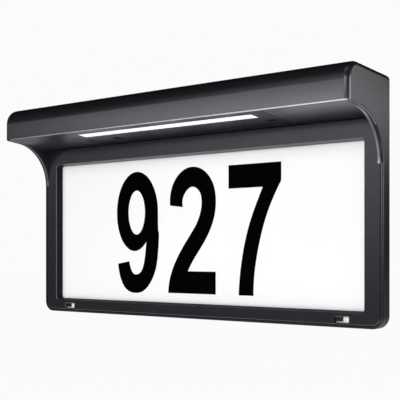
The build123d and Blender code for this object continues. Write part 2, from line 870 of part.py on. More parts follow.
# Catches: a pale slide behind each window of the bottom rail, and its dark nib
for side, name in ((-1, "left"), (1, "right")):
    catch_middle = side * catch_x
    with BuildPart() as slide:
        with BuildSketch(front_plane(slide_back)):
            with Locations((catch_middle, slide_base)):
                Rectangle(slide_length, slide_height, align=(Align.CENTER, Align.MIN))
        extrude(amount=slide_thickness)
        with BuildSketch(front_plane(tongue_back)):
            with Locations((catch_middle + tongue_start, slide_base)):
                Rectangle(tongue_length, slide_height - tongue_drop, align=(Align.MIN, Align.MIN))
        extrude(amount=tongue_thickness)
        with BuildSketch(front_plane(tongue_back)):
            with Locations((catch_middle - slide_length / 2, slide_base)):
                Rectangle(tongue_root, slide_height - tongue_drop, align=(Align.MIN, Align.MIN))
        extrude(amount=tongue_thickness + tongue_step + slide_thickness / 2)
    save(slide.part, f"catch_slide_{name}")

    nib_left = catch_middle - catch_window_width / 2 + nib_side_gap
    nib_base = catch_window_base + catch_window_height - nib_height - nib_top_gap
    with BuildPart() as nib:
        with BuildSketch(front_plane(slide_front)):
            with Locations((nib_left, nib_base)):
                Rectangle(nib_width, nib_height, align=(Align.MIN, Align.MIN))
        extrude(amount=body_depth - nib_inset - slide_front)
        chamfer(nib.faces().sort_by(Axis.Y)[0].edges(), nib_chamfer)
    save(nib.part, f"catch_nib_{name}")


# Light cover: the flush panel in the ceiling
cover_middle = -(cover_front + cover_back) / 2
board_plane = ceiling.offset(board_base)
board_holes = (board_length - 2 * board_post_inset, board_width - 2 * board_post_inset)
with BuildPart() as light_cover:
    with BuildSketch(ceiling):
        with Locations((0, cover_middle)):
            Rectangle(cover_length, cover_front - cover_back)
        with Locations((0, -lens_forward)):
            Rectangle(lens_length + 2 * lens_seam, lens_width + 2 * lens_seam, mode=Mode.SUBTRACT)
        with Locations((button_x, -button_forward)):
            Circle(button_radius + button_gap, mode=Mode.SUBTRACT)
    extrude(amount=light_cover_wall)
    for x in (-cover_screw_x, cover_screw_x):
        with BuildSketch(ceiling):
            with Locations((x, -cover_screw_forward)):
                Circle(cover_screw_head_radius + fit_gap)
        extrude(amount=cover_screw_sink, mode=Mode.SUBTRACT)
        with BuildSketch(ceiling):
            with Locations((x, -cover_screw_forward)):
                Circle(screw_radius + screw_gap)
        extrude(amount=light_cover_wall, mode=Mode.SUBTRACT)
    with BuildSketch(ceiling.offset(light_cover_wall / 2)):
        with Locations((board_x, -board_forward)):
            with GridLocations(*board_holes, 2, 2):
                Circle(board_post_radius)
    extrude(amount=board_base - light_cover_wall / 2)
    with BuildSketch(board_plane):
        with Locations((board_x, -board_forward)):
            with GridLocations(*board_holes, 2, 2):
                Circle(board_screw_radius)
    extrude(amount=-post_bore_depth, mode=Mode.SUBTRACT)
save(light_cover.part, "light_cover")

with BuildPart() as light_cover_screws:
    for x in (-cover_screw_x, cover_screw_x):
        with BuildSketch(ceiling.offset(cover_screw_sink - screw_head_height)):
            with Locations((x, -cover_screw_forward)):
                Circle(cover_screw_head_radius)
        extrude(amount=screw_head_height)
        with BuildSketch(ceiling.offset(cover_screw_sink)):
            with Locations((x, -cover_screw_forward)):
                Circle(screw_radius)
        extrude(amount=light_cover_wall - cover_screw_sink + ear_height)
        with BuildSketch(ceiling.offset(cover_screw_sink - screw_head_height)):
            with Locations((x, -cover_screw_forward)):
                Rectangle(big_slot_length, big_slot_width)
                Rectangle(big_slot_width, big_slot_length)
        extrude(amount=slot_depth, mode=Mode.SUBTRACT)
save(light_cover_screws.part, "light_cover_screws")

with BuildPart() as light_lens:
    with BuildSketch(ceiling):
        with Locations((0, -lens_forward)):
            Rectangle(lens_length, lens_width)
    extrude(amount=light_cover_wall)
    with BuildSketch(ceiling.offset(light_cover_wall)):
        with Locations((0, -lens_forward)):
            Rectangle(lens_length + 2 * lens_flange_margin, lens_width + 2 * lens_flange_margin)
    extrude(amount=lens_flange)
save(light_lens.part, "light_lens")

reflector_plane = ceiling.offset(light_cover_wall + lens_flange)
with BuildPart() as led_reflector:
    with BuildSketch(reflector_plane):
        with Locations((0, -lens_forward)):
            Rectangle(reflector_length, reflector_width)
            Rectangle(
                reflector_length - 2 * reflector_wall,
                reflector_width - 2 * reflector_wall,
                mode=Mode.SUBTRACT,
            )
    extrude(amount=reflector_height)
save(led_reflector.part, "led_reflector")

led_plane = reflector_plane.offset(reflector_height)
with BuildPart() as led_board:
    with BuildSketch(led_plane):
        with Locations((0, -lens_forward)):
            Rectangle(reflector_length, reflector_width)
    extrude(amount=led_board_thickness)
save(led_board.part, "led_board")

led_step = (lens_length - 2 * led_margin) / led_count
with BuildPart() as leds:
    with BuildSketch(led_plane):
        with Locations((0, -lens_forward)):
            with GridLocations(led_step, 0, led_count, 1):
                Rectangle(led_length, led_width)
    extrude(amount=-led_height)
save(leds.part, "leds")


# Mode button, its switch and the control board
with BuildPart() as mode_button:
    with BuildSketch(ceiling.offset(button_sink)):
        with Locations((button_x, -button_forward)):
            Circle(button_radius)
    extrude(amount=button_flange_base - button_sink)
    with BuildSketch(ceiling.offset(button_flange_base)):
        with Locations((button_x, -button_forward)):
            Circle(button_flange_radius)
    extrude(amount=button_flange_height)
    with BuildSketch(ceiling.offset(button_flange_base)):
        with Locations((button_x, -button_forward)):
            Circle(button_stem_radius)
    extrude(amount=button_stem_top - button_flange_base)
    fillet(mode_button.faces().sort_by(Axis.Z)[0].edges(), button_edge)
save(mode_button.part, "mode_button")

with BuildPart() as switch_plunger:
    with BuildSketch(ceiling.offset(button_stem_top)):
        with Locations((button_x, -button_forward)):
            Circle(plunger_radius)
    extrude(amount=plunger_length)
save(switch_plunger.part, "switch_plunger")

with BuildPart() as button_switch:
    with BuildSketch(ceiling.offset(switch_base)):
        with Locations((button_x, -button_forward)):
            Rectangle(switch_width, switch_width)
    extrude(amount=switch_height)
    with BuildSketch(ceiling.offset(switch_base)):
        with Locations((button_x, -button_forward)):
            Circle(plunger_radius + plunger_gap)
    extrude(amount=switch_bore_depth, mode=Mode.SUBTRACT)
save(button_switch.part, "button_switch")

with BuildPart() as control_board:
    with BuildSketch(board_plane):
        with Locations((board_x, -board_forward)):
            Rectangle(board_length, board_width)
            with GridLocations(*board_holes, 2, 2):
                Circle(board_screw_radius + boss_gap, mode=Mode.SUBTRACT)
    extrude(amount=board_thickness)
save(control_board.part, "control_board")

# Each component is an offset from the board's middle, with its length, width and height
board_items = [
    (-12.0, 3.5, 8.0, 5.0, 1.6),
    (0.0, 2.5, 6.0, 6.0, 3.0),
    (10.0, 3.5, 5.0, 4.0, 1.2),
    (-14.0, -4.0, 4.0, 3.0, 1.0),
    (-6.0, -4.0, 4.0, 3.0, 1.0),
    (4.0, -4.2, 7.0, 5.0, 4.0),
    (13.0, -4.2, 7.0, 5.0, 4.0),
]
with BuildPart() as board_parts:
    for x, y, length, width, height in board_items:
        with BuildSketch(board_plane.offset(board_thickness)):
            with Locations((board_x + x, y - board_forward)):
                Rectangle(length, width)
        extrude(amount=height)
save(board_parts.part, "board_parts")

with BuildPart() as board_screws:
    with BuildSketch(board_plane.offset(board_thickness)):
        with Locations((board_x, -board_forward)):
            with GridLocations(*board_holes, 2, 2):
                Circle(board_screw_head)
    extrude(amount=board_screw_head_height)
    with BuildSketch(board_plane.offset(board_thickness)):
        with Locations((board_x, -board_forward)):
            with GridLocations(*board_holes, 2, 2):
                Circle(board_screw_radius - screw_sink)
    extrude(amount=-board_thickness - board_screw_length)
save(board_screws.part, "board_screws")


# Battery: two cells side by side in a tray with contact plates
cell_rows = [-battery_forward - cell_pitch / 2, -battery_forward + cell_pitch / 2]
with BuildPart() as battery_cells:
    for y in cell_rows:
        cell_plane = Plane(
            origin=(battery_x - cell_length / 2, y, up(battery_height)),
            x_dir=(0, 1, 0),
            z_dir=(1, 0, 0),
        )
        with BuildSketch(cell_plane):
            Circle(cell_radius)
        extrude(amount=cell_length - cell_cap)
        with BuildSketch(cell_plane):
            Circle(cell_cap_radius)
        extrude(amount=cell_length)
save(battery_cells.part, "battery_cells")

with BuildPart() as battery_holder:
    holder_plane = Plane(origin=(battery_x, -battery_forward, up(holder_floor)))
    with BuildSketch(holder_plane):
        Rectangle(holder_length, holder_width)
    extrude(amount=-holder_wall)
    with BuildSketch(holder_plane):
        Rectangle(holder_length, holder_width)
        Rectangle(holder_length - 2 * holder_wall, holder_width - 2 * holder_wall, mode=Mode.SUBTRACT)
    extrude(amount=holder_side_height)
save(battery_holder.part, "battery_holder")

with BuildPart() as battery_contacts:
    for side in (-1, 1):
        plate_x = battery_x + side * (holder_length / 2 - holder_wall - contact_thickness / 2)
        for y in cell_rows:
            contact_plane = Plane(
                origin=(plate_x, y, up(battery_height - contact_drop)),
                x_dir=(0, 1, 0),
                z_dir=(-side, 0, 0),
            )
            with BuildSketch(contact_plane):
                Rectangle(contact_width, contact_height)
            extrude(amount=contact_thickness / 2, both=True)
            with BuildSketch(contact_plane):
                Circle(contact_dimple_radius)
            extrude(amount=contact_thickness / 2 + contact_play * 0.9)
save(battery_contacts.part, "battery_contacts")


# Back cover: thin behind the number plate, thicker behind the hood
cover_half_width = inner_half_width - cover_gap
cover_base = shell_wall + cover_gap
cover_top = roof_back_height - shell_wall - cover_gap
cover_step_height = crease_height + cover_step
with BuildPart() as back_cover:
    with BuildSketch(front_plane(0)) as cover_outline:
        with Locations((0, (cover_base + cover_top) / 2)):
            Rectangle(2 * cover_half_width, cover_top - cover_base)
        fillet(cover_outline.vertices().group_by(Axis.Y)[0], corner_radius - shell_wall - cover_gap)
    extrude(amount=cover_low_wall)
    with BuildSketch(front_plane(0)):
        with Locations((0, (cover_step_height + cover_top) / 2)):
            Rectangle(2 * cover_half_width, cover_top - cover_step_height)
    extrude(amount=cover_hood_wall)

    # Ribs that guide the catch slides from behind
    with BuildSketch(front_plane(cover_low_wall / 2)):
        for side in (-1, 1):
            with Locations((side * catch_x + rib_offset, catch_window_base)):
                Rectangle(rib_width, catch_window_height, align=(Align.MIN, Align.MIN))
    extrude(amount=slide_back - slide_play - cover_low_wall / 2)

    # Closed pockets that take the heads of the wall screws, and their keyholes
    pocket_width = 2 * (keyhole_radius + pocket_margin)
    pocket_base = keyhole_height - keyhole_radius
    pocket_middle = (pocket_base + pocket_top) / 2
    with BuildSketch(front_plane(cover_hood_wall)):
        with Locations(*[(x, pocket_middle) for x in keyhole_xs]):
            Rectangle(pocket_width + 2 * pocket_wall, pocket_top - pocket_base + 2 * pocket_wall)
    extrude(amount=pocket_depth + pocket_wall)
    with BuildSketch(front_plane(cover_hood_wall)):
        with Locations(*[(x, pocket_middle) for x in keyhole_xs]):
            Rectangle(pocket_width, pocket_top - pocket_base)
    extrude(amount=pocket_depth, mode=Mode.SUBTRACT)
    with BuildSketch(front_plane(0)):
        for x in keyhole_xs:
            with Locations((x, keyhole_height)):
                Circle(keyhole_radius)
                Rectangle(
                    2 * keyhole_slot_radius,
                    keyhole_rise,
                    align=(Align.CENTER, Align.MIN),
                )
            with Locations((x, keyhole_height + keyhole_rise)):
                Circle(keyhole_slot_radius)
    extrude(amount=cover_hood_wall, mode=Mode.SUBTRACT)

    # Countersunk screw holes
    with BuildSketch(front_plane(0)):
        with Locations(*cover_sites):
            Circle(screw_radius + screw_gap)
    extrude(amount=cover_hood_wall, mode=Mode.SUBTRACT)
    for x, height in cover_sites:
        with BuildSketch(front_plane(0)):
            with Locations((x, height)):
                Circle(screw_head_radius + screw_head_gap)
        with BuildSketch(front_plane(screw_head_height)):
            with Locations((x, height)):
                Circle(screw_radius + screw_gap)
        loft(mode=Mode.SUBTRACT)
save(back_cover.part, "back_cover")

with BuildPart() as back_screws:
    for x, height in cover_sites:
        with BuildSketch(front_plane(screw_sink)):
            with Locations((x, height)):
                Circle(screw_head_radius)
        with BuildSketch(front_plane(screw_sink + screw_head_height)):
            with Locations((x, height)):
                Circle(screw_radius)
        loft()
        with BuildSketch(front_plane(screw_sink + screw_head_height)):
            with Locations((x, height)):
                Circle(screw_radius)
        extrude(amount=screw_length - screw_head_height)
        with BuildSketch(front_plane(screw_sink)):
            with Locations((x, height)):
                Rectangle(slot_length, slot_width)
                Rectangle(slot_width, slot_length)
        extrude(amount=slot_depth, mode=Mode.SUBTRACT)
save(back_screws.part, "back_screws")

gasket_half_width = cover_half_width - gasket_gap
gasket_base = crease_height + gasket_rise
gasket_top = cover_top - gasket_gap
with BuildPart() as cover_gasket:
    with BuildSketch(front_plane(cover_hood_wall)):
        with Locations((0, (gasket_base + gasket_top) / 2)):
            Rectangle(2 * gasket_half_width, gasket_top - gasket_base)
        with Locations((0, (gasket_base + gasket_top) / 2)):
            Rectangle(
                2 * (gasket_half_width - gasket_width),
                gasket_top - gasket_base - 2 * gasket_width,
                mode=Mode.SUBTRACT,
            )
    extrude(amount=gasket_thickness)
save(cover_gasket.part, "cover_gasket")


# Leads: solar panel, battery and light source, each to the control board
board_top = board_base + board_thickness + lead_gap


def lead(points, bend, name):
    """Round lead along a path with bent corners."""
    with BuildPart() as run:
        with BuildLine() as path:
            FilletPolyline(*points, radius=bend)
        with BuildSketch(Plane(origin=path.line @ 0, z_dir=path.line % 0)):
            Circle(lead_radius)
        sweep(path=path.line)
    save(run.part, name)


solar_start = roof.from_local_coords((solar_lead_x, -solar_lead_setback, -panel_recess - lead_gap))
solar_end = ceiling.from_local_coords((lead_x, -board_forward - solar_lead_offset, board_top))
lead(
    [
        solar_start,
        (solar_lead_x, solar_start.Y, up(lead_height)),
        (solar_end.X, solar_end.Y, up(lead_height)),
        solar_end,
    ],
    lead_bend,
    "solar_lead",
)

battery_end = ceiling.from_local_coords((lead_x, battery_lead_offset - board_forward, board_top))
contact_face = battery_x - holder_length / 2 + holder_wall
lead(
    [
        (contact_face, battery_end.Y, up(lead_height)),
        (battery_end.X, battery_end.Y, up(lead_height)),
        battery_end,
    ],
    lead_bend,
    "battery_lead",
)

lead(
    [
        ceiling.from_local_coords((led_x, led_lead_start - lens_forward, led_top)),
        ceiling.from_local_coords((led_x, led_lead_start - lens_forward, board_top + led_lead_lift)),
        ceiling.from_local_coords((led_x, -board_forward - led_lead_end, board_top + led_lead_lift)),
        ceiling.from_local_coords((led_x, -board_forward - led_lead_end, board_top)),
    ],
    led_lead_bend,
    "led_lead",
)
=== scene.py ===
# %% [markdown]
# # An illuminated house number sign
# The object is a black moulded wall sign. A hood with a solar panel on its roof reaches out over
# a recessed white number panel, and a strip light in the hood's ceiling shines down on the
# digits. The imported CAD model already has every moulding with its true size, so it is loaded
# first and used as a fixed frame. What is left to do here is the finish of each surface, the fine
# detail that is too small for the CAD model, the camera and the light.

import json
from math import atan, cos, pi, radians, sin

import bmesh
import bpy
from mathutils import Matrix, Vector


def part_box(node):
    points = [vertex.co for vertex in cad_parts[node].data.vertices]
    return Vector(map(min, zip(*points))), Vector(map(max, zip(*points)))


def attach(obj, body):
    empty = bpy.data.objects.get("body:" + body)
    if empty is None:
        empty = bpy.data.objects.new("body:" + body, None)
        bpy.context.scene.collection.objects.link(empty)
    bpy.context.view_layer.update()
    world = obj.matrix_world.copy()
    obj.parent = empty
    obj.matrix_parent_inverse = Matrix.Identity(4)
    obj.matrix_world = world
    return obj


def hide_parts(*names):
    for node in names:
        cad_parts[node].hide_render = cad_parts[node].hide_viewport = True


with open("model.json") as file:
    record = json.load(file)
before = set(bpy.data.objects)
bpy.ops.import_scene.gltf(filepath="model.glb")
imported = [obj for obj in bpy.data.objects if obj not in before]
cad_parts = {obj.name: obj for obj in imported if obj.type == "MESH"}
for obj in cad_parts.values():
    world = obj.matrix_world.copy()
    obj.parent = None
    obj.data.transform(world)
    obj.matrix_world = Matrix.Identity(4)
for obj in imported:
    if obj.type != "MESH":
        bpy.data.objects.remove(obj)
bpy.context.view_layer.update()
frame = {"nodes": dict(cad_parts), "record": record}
nodes = frame["nodes"]

# %% [markdown]
# ## Camera
# The photograph was taken from the right of the sign and a little below its middle, with a long
# lens held level. Tilting the camera up would make the sign's upright edges lean together. A view
# camera's rise moves the frame up and keeps them upright, and the shift of a Blender camera does
# the same, so the camera stays level here too. The place and the focal length come from measuring
# the sign's corners in the photograph.

# %% Place the camera
lens_data = bpy.data.cameras.new("camera")
lens_data.lens = 83.31
lens_data.sensor_width = 36.0
lens_data.shift_y = 0.1326
lens_data.clip_start = 0.01
lens_data.clip_end = 50.0
camera = bpy.data.objects.new("camera", lens_data)
camera.location = (0.4416, -0.5349, -0.0325)
camera.rotation_euler = (radians(90), 0, radians(39.38))
bpy.context.scene.collection.objects.link(camera)
bpy.context.scene.camera = camera
print("camera distance:", round(camera.location.length, 3), "m")

# %% [markdown]
# ## A small language for shaders
# A material is a graph of nodes, and a graph is slow to read as code. Two small classes make it
# read like arithmetic. `Socket` wraps one output of a node and turns an expression such as
# `0.3 + 0.1 * grain` into Math nodes. `Finish` holds a material, or the world, and has one method
# that makes any node from its type, its settings and its inputs. The rest are short names for the
# nodes that are used most.

# %% Wrap sockets and nodes


class Socket:
    """One output of a node, with the arithmetic that the finishes use."""

    def __init__(self, finish, output):
        self.finish = finish
        self.output = output

    def math(self, operation, first, second=0.0):
        return self.finish.math(operation, first, second)

    def __add__(self, other):
        return self.math("ADD", self, other)

    def __radd__(self, other):
        return self.math("ADD", other, self)

    def __sub__(self, other):
        return self.math("SUBTRACT", self, other)

    def __rsub__(self, other):
        return self.math("SUBTRACT", other, self)

    def __mul__(self, other):
        return self.math("MULTIPLY", self, other)

    def __rmul__(self, other):
        return self.math("MULTIPLY", other, self)

    def __abs__(self):
        return self.math("ABSOLUTE", self)

    def __lt__(self, limit):
        return self.math("LESS_THAN", self, limit)

    def __gt__(self, limit):
        return self.math("GREATER_THAN", self, limit)

    def larger(self, other):
        return self.math("MAXIMUM", self, other)

    def folded(self, step):
        """Distance to the nearest multiple of twice the step."""
        return self.math("PINGPONG", self, step)


class Finish:
    """A material, or the world, and its node tree."""

    def __init__(self, name, holder=None):
        self.material = holder or bpy.data.materials.new(name)
        self.material.use_nodes = True
        self.tree = self.material.node_tree
        self.tree.nodes.clear()

    def node(self, kind, settings=None, inputs=None, output=0):
        """Any node: its type, its settings, then the value or link of each socket."""
        made = self.tree.nodes.new(kind)
        for name, value in (settings or {}).items():
            if name == "stops":
                ramp = made.color_ramp
                while len(ramp.elements) < len(value):
                    ramp.elements.new(0.5)
                for element, (position, shade) in zip(ramp.elements, value):
                    element.position = position
                    element.color = (*shade, 1)
            else:
                setattr(made, name, value)
        for name, value in (inputs or {}).items():
            if isinstance(value, Socket):
                self.tree.links.new(value.output, made.inputs[name])
            else:
                made.inputs[name].default_value = value
        return Socket(self, made.outputs[output])

    def place(self):
        """Object coordinates, which are metres in the sign's own frame."""
        return self.node("ShaderNodeTexCoord", output="Object")

    def along(self, axis):
        return self.node("ShaderNodeSeparateXYZ", None, {0: self.place()}, output=axis)

    def facing(self, axis):
        """How far the surface faces along an axis of the sign, from -1 to 1."""
        normal = self.node("ShaderNodeTexCoord", output="Normal")
        return self.node("ShaderNodeSeparateXYZ", None, {0: normal}, output=axis)

    def noise(self, features_per_metre, detail=2.0, roughness=0.5, stretch=None):
        """Soft clouds. A stretch of the coordinates turns them into streaks."""
        vector = self.place()
        if stretch:
            vector = self.node("ShaderNodeMapping", None, {"Vector": vector, "Scale": stretch})
        inputs = {
            "Vector": vector,
            "Scale": features_per_metre,
            "Detail": detail,
            "Roughness": roughness,
        }
        return self.node("ShaderNodeTexNoise", {"noise_dimensions": "3D"}, inputs)

    def ramp(self, factor, stops):
        return self.node("ShaderNodeValToRGB", {"stops": stops}, {"Fac": factor})

    def mix(self, factor, first, second):
        """Blend of two colours."""
        inputs = {0: factor, 6: first, 7: second}
        return self.node("ShaderNodeMix", {"data_type": "RGBA"}, inputs, output=2)

    def bump(self, height, depth):
        """Normal for a relief of a given depth in metres."""
        inputs = {"Height": height, "Distance": depth, "Strength": 1.0}
        return self.node("ShaderNodeBump", None, inputs)

    def surface(self, **inputs):
        """Finish with the main shader. Underscores in the names stand for spaces."""
        sockets = {name.replace("_", " "): value for name, value in inputs.items()}
        self.output(self.node("ShaderNodeBsdfPrincipled", None, sockets))
        return self.material

    def math(self, operation, first, second=0.0):
        return self.node("ShaderNodeMath", {"operation": operation}, {0: first, 1: second})

    def output(self, shader, kind="ShaderNodeOutputMaterial"):
        end = self.tree.nodes.new(kind)
        self.tree.links.new(shader.output, end.inputs["Surface"])


def colour(red, green, blue):
    return (red, green, blue, 1.0)


def shaded(shade, factor):
    """A colour made lighter or darker by a factor."""
    return colour(*[factor * part for part in shade])


# %% [markdown]
# ## Moulded plastic
# The housing, the frame and the liner are one family: black plastic from a finely blasted mould.
# Its surface is a relief of tiny pits, a few thousandths of a millimetre deep, which spreads the
# highlights. An image could hold the pits, but noise has no seams and stays sharp however close
# the camera comes, so noise at about three grains to the millimetre gives them. A second, much
# larger noise shifts the roughness and the shade a little, as handling and the flow of the
# plastic do. Three more things are added where the sign needs them: a paler shade on some
# rounded edges, which is a painted highlight in place of the light they would catch, a dull
# surface deep in the window's recess, and a bulge of the hood's front that is too flat for the
# CAD model. The way a surface faces and its place tell the shader where each of them belongs.

# %% Make the moulded plastics
blasted_grains = 2600        # to the metre
flow_marks = 18.0            # to the metre
flow_shift = 0.14            # of the shade, to each side
dull_roughness = 0.9
shiny_undersides = 0.5       # how far a surface in the recess faces down where it keeps its shine


def moulded(
    name, shade, roughness, grain_depth, grains=blasted_grains, gloss=0.5, ior=1.5,
    tint=(1, 1, 1), rim=None, painted_highlight=None, dull_from=None, crown=None,
):
    """Moulded plastic with a blasted grain and soft flow marks.

    Where the highlight function gives 1, the base colour is the paler rim shade:
    a painted highlight in place of the light that a rounded edge would catch.
    Surfaces further back than dull_from, in metres from the wall, lose their shine.
    The function crown gives the height, in metres, of a bulge too flat for the CAD model.
    """
    finish = Finish(name)
    grain = finish.noise(grains, 3.0, 0.6)
    flow = finish.noise(flow_marks, 4.0, 0.55)
    base = finish.mix(flow, shaded(shade, 1 - flow_shift), shaded(shade, 1 + flow_shift))
    rough = roughness - 0.05 + 0.06 * flow + 0.04 * grain
    # Painted highlight: the pale rim shade goes into the base colour where edges would catch
    # light.
    if painted_highlight:
        base = finish.mix(painted_highlight(finish), base, colour(*rim))
    if dull_from:
        deep = (finish.along("Y") > -dull_from) * (finish.facing("Z") > -shiny_undersides)
        rough = rough + (dull_roughness - roughness) * deep
    relief = grain_depth * grain
    if crown:
        relief = relief + crown(finish)
    return finish.surface(
        Base_Color=base,
        Roughness=rough,
        Specular_IOR_Level=gloss,
        IOR=ior,
        Specular_Tint=colour(*tint),
        Normal=finish.bump(relief, 1.0),
    )


housing_left, housing_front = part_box("outer_housing")[0][:2]
lip_turn = 0.12              # how far the lip faces forward and down to get the painted highlight
lip_depth = 0.0009
lip_end = 0.007
lip_highlight_middle = 0.62              # in the middle of the hood
lip_highlight_growth = 2.4        # to the metre, to the right
cheek_turns = (0.3, 0.8)     # how far the edge of a cheek faces sideways
cheek_depth = 0.034
cheek_highlight_share = 0.32


def hood_edge_highlight(finish):
    """The rounded lower lip of the hood and the outer edges of the curved cheeks.

    Both get a painted highlight, a paler base colour in place of the light they would catch.
    On the lip it grows from left to right and is left out near the left end.
    """
    sideways = abs(finish.facing("X"))
    depth = finish.along("Y")
    across = finish.along("X")
    # Painted highlight on the lip: strongest at the right end, none near the left end.
    lip_highlight_share = (across > housing_left + lip_end) * (lip_highlight_middle + lip_highlight_growth * across)
    lip = lip_highlight_share * (finish.facing("Y") < -lip_turn) * (depth < housing_front + lip_depth)
    turned = (sideways > cheek_turns[0]) * (sideways < cheek_turns[1])
    cheek = turned * (depth < housing_front + cheek_depth)
    return (finish.facing("Z") < -lip_turn) * lip.larger(cheek_highlight_share * cheek)


liner_rise = 0.006           # of the liner's hidden rim above the hood's lip
lip_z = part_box("hood_liner")[1][2] - liner_rise
barrel_radius = 0.33


def hood_crown(finish):
    """The hood's front leans back more and more above its lip, like part of a wide barrel."""
    above_lip = (finish.along("Z") - lip_z).larger(0.0)
    return above_lip * above_lip * (-0.5 / barrel_radius)


bevel_turn = 0.2


def window_edge_highlight(finish):
    """The window's rounded upper and left edges, which get a painted highlight."""
    left = (finish.facing("X") > bevel_turn) * (finish.along("X") < 0.0)
    upper = finish.facing("Z") < -bevel_turn
    return (finish.facing("Y") < -bevel_turn) * left.larger(upper)


dull_line = 0.0088           # from the wall to where the window's recess turns dull
cool = (0.87, 0.88, 1.0)
black = (0.0085, 0.0088, 0.0105)
# The housing's near-white rim shade is a painted highlight on the hood's lip and cheek edges.
housing_plastic = moulded(
    "housing_plastic", black, 0.2, 0.000002, tint=cool, rim=(0.8, 0.8, 0.81), painted_highlight=hood_edge_highlight,
    crown=hood_crown,
)
# The frame's rim shade is a painted highlight on the window's rounded upper and left edges.
frame_plastic = moulded(
    "frame_plastic", black, 0.27, 0.000002, gloss=0.28, tint=cool, rim=(0.16, 0.16, 0.165),
    painted_highlight=window_edge_highlight, dull_from=dull_line,
)
liner_plastic = moulded("liner_plastic", black, 0.3, 0.000003, gloss=1.0, ior=2.4, tint=cool)
cover_plastic = moulded("cover_plastic", black, 0.36, 0.000003, gloss=0.9, ior=1.7, tint=cool)
back_plastic = moulded("back_plastic", (0.012, 0.0122, 0.013), 0.46, 0.00002, 1500, gloss=0.3)
tray_plastic = moulded("tray_plastic", (0.014, 0.014, 0.014), 0.42, 0.00001)
white_plastic = moulded("white_plastic", (0.86, 0.86, 0.85), 0.28, 0.000003)
nib_plastic = moulded("nib_plastic", (0.006, 0.006, 0.0065), 0.38, 0.000006, gloss=0.25)
switch_plastic = moulded("switch_plastic", (0.03, 0.03, 0.032), 0.35, 0.000006)
reflector_plastic = moulded("reflector_plastic", (0.88, 0.88, 0.87), 0.22, 0.000002)
print("moulded finishes:", [m.name for m in bpy.data.materials if m.name.endswith("plastic")])

# %% [markdown]
# ## Number plate and film
# The plate is a smooth white sheet, and the digits are cut from flat black film. The shader could
# draw the digits on the sheet, but in the CAD model they are pieces of their own with a
# thickness, so each only needs a finish. The sheet is left nearly plain, with a very soft
# orange-peel wave. The film is a deep black with a slight ripple where it follows the sheet.
# Neither has much gloss, so both keep their tone from every side.

# %% Make the plate and the film
finish = Finish("plate_sheet")
wave = finish.noise(160.0, 2.0)
tone = finish.noise(9.0, 2.0)
plate_sheet = finish.surface(
    Base_Color=finish.mix(tone, colour(0.885, 0.89, 0.895), colour(0.925, 0.925, 0.925)),
    Roughness=0.34 + 0.06 * wave,
    Specular_IOR_Level=0.12,
    Normal=finish.bump(wave, 0.000008),
)

finish = Finish("digit_film")
ripple = finish.noise(300.0, 3.0)
digit_film = finish.surface(
    Base_Color=finish.mix(ripple, colour(0.0008, 0.0008, 0.0009), colour(0.0014, 0.0014, 0.0016)),
    Roughness=0.5 + 0.1 * ripple,
    Specular_IOR_Level=0.0,
    Normal=finish.bump(ripple, 0.000004),
)
print("plate and film:", plate_sheet.name, digit_film.name)

# %% [markdown]
# ## Lens of the strip light
# The lens is a frosted white diffuser. Light from the row of LEDs behind it makes it a little
# brighter than its own colour. Lamps behind a lens that scatters would be slow to render and
# grainy, so its surface has a low emission of its own. The glow rises and falls gently from one
# LED to the next, which folding the length at the LEDs' pitch gives, and the frosting is a fine
# grain.

# %% Make the lens
led_count = 24
lens_low, lens_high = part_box("light_lens")
row_margin = 0.006           # by which the lens is longer than the row of LEDs
led_pitch = (lens_high[0] - lens_low[0] - row_margin) / led_count
finish = Finish("lens_plastic")
frost = finish.noise(3500.0, 2.0)
beat = (finish.along("X") + 0.5 * led_pitch).folded(led_pitch / 2) * (2.0 / led_pitch)
glow = 0.55 + 0.12 * beat + 0.05 * frost
lens_plastic = finish.surface(
    Base_Color=finish.mix(frost, colour(0.86, 0.87, 0.88), colour(0.93, 0.93, 0.94)),
    Roughness=0.32 + 0.12 * frost,
    Emission_Color=finish.mix(glow, colour(0.0, 0.0, 0.0), colour(0.95, 0.97, 1.0)),
    Emission_Strength=0.9,
    Normal=finish.bump(frost, 0.000006),
)
print("LED pitch:", round(led_pitch * 1000, 2), "mm")

# %% [markdown]
# ## Solar panel
# The panel is a row of dark silicon strips under a clear cover. Each strip carries printed
# silver: two broad bars along the row and many hair-thin fingers across it. Hundreds of fingers
# would be heavy as shapes, and they stand only a hundredth of a millimetre above the silicon, so
# the shader draws them and the bars. The fingers repeat at a fixed step and the two bars mirror
# each other, so both come from folding the coordinates and cutting the folds at a width. The
# cover is clear plastic, with a trace of dust in its roughness.

# %% Make the solar finishes
strip_count = 12
strip_low, strip_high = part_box("solar_cells")
strip_gap = 0.001
strip_step = (strip_high[0] - strip_low[0] + strip_gap) / strip_count
cells_y = (strip_low[1] + strip_high[1]) / 2
bar_offset = 0.0072          # of each silver bar from the middle of the row
bar_half_width = 0.0006
finger_half_step = 0.0008
finger_half_width = 0.00009
finish = Finish("silicon_strip")
crystal = finish.noise(220.0, 4.0, 0.7)
x = finish.along("X")
depth = finish.along("Y")
finger = x.folded(finger_half_step) < finger_half_width
bar = abs(abs(depth - cells_y) - bar_offset) < bar_half_width
silver = finger.larger(bar)
silicon = finish.mix(crystal, colour(0.004, 0.006, 0.02), colour(0.008, 0.012, 0.045))
silicon_strip = finish.surface(
    Base_Color=finish.mix(silver, silicon, colour(0.55, 0.56, 0.58)),
    Metallic=0.85 * silver,
    Roughness=0.24 + 0.1 * crystal + 0.12 * silver,
    Normal=finish.bump(silver, 0.00001),
)

finish = Finish("panel_cover")
dust = finish.noise(60.0, 5.0, 0.65)
panel_cover = finish.surface(
    Base_Color=finish.mix(dust, colour(0.93, 0.95, 0.97), colour(0.97, 0.98, 0.99)),
    Roughness=0.01 + 0.07 * dust,
    IOR=1.49,
    Transmission_Weight=1.0,
)

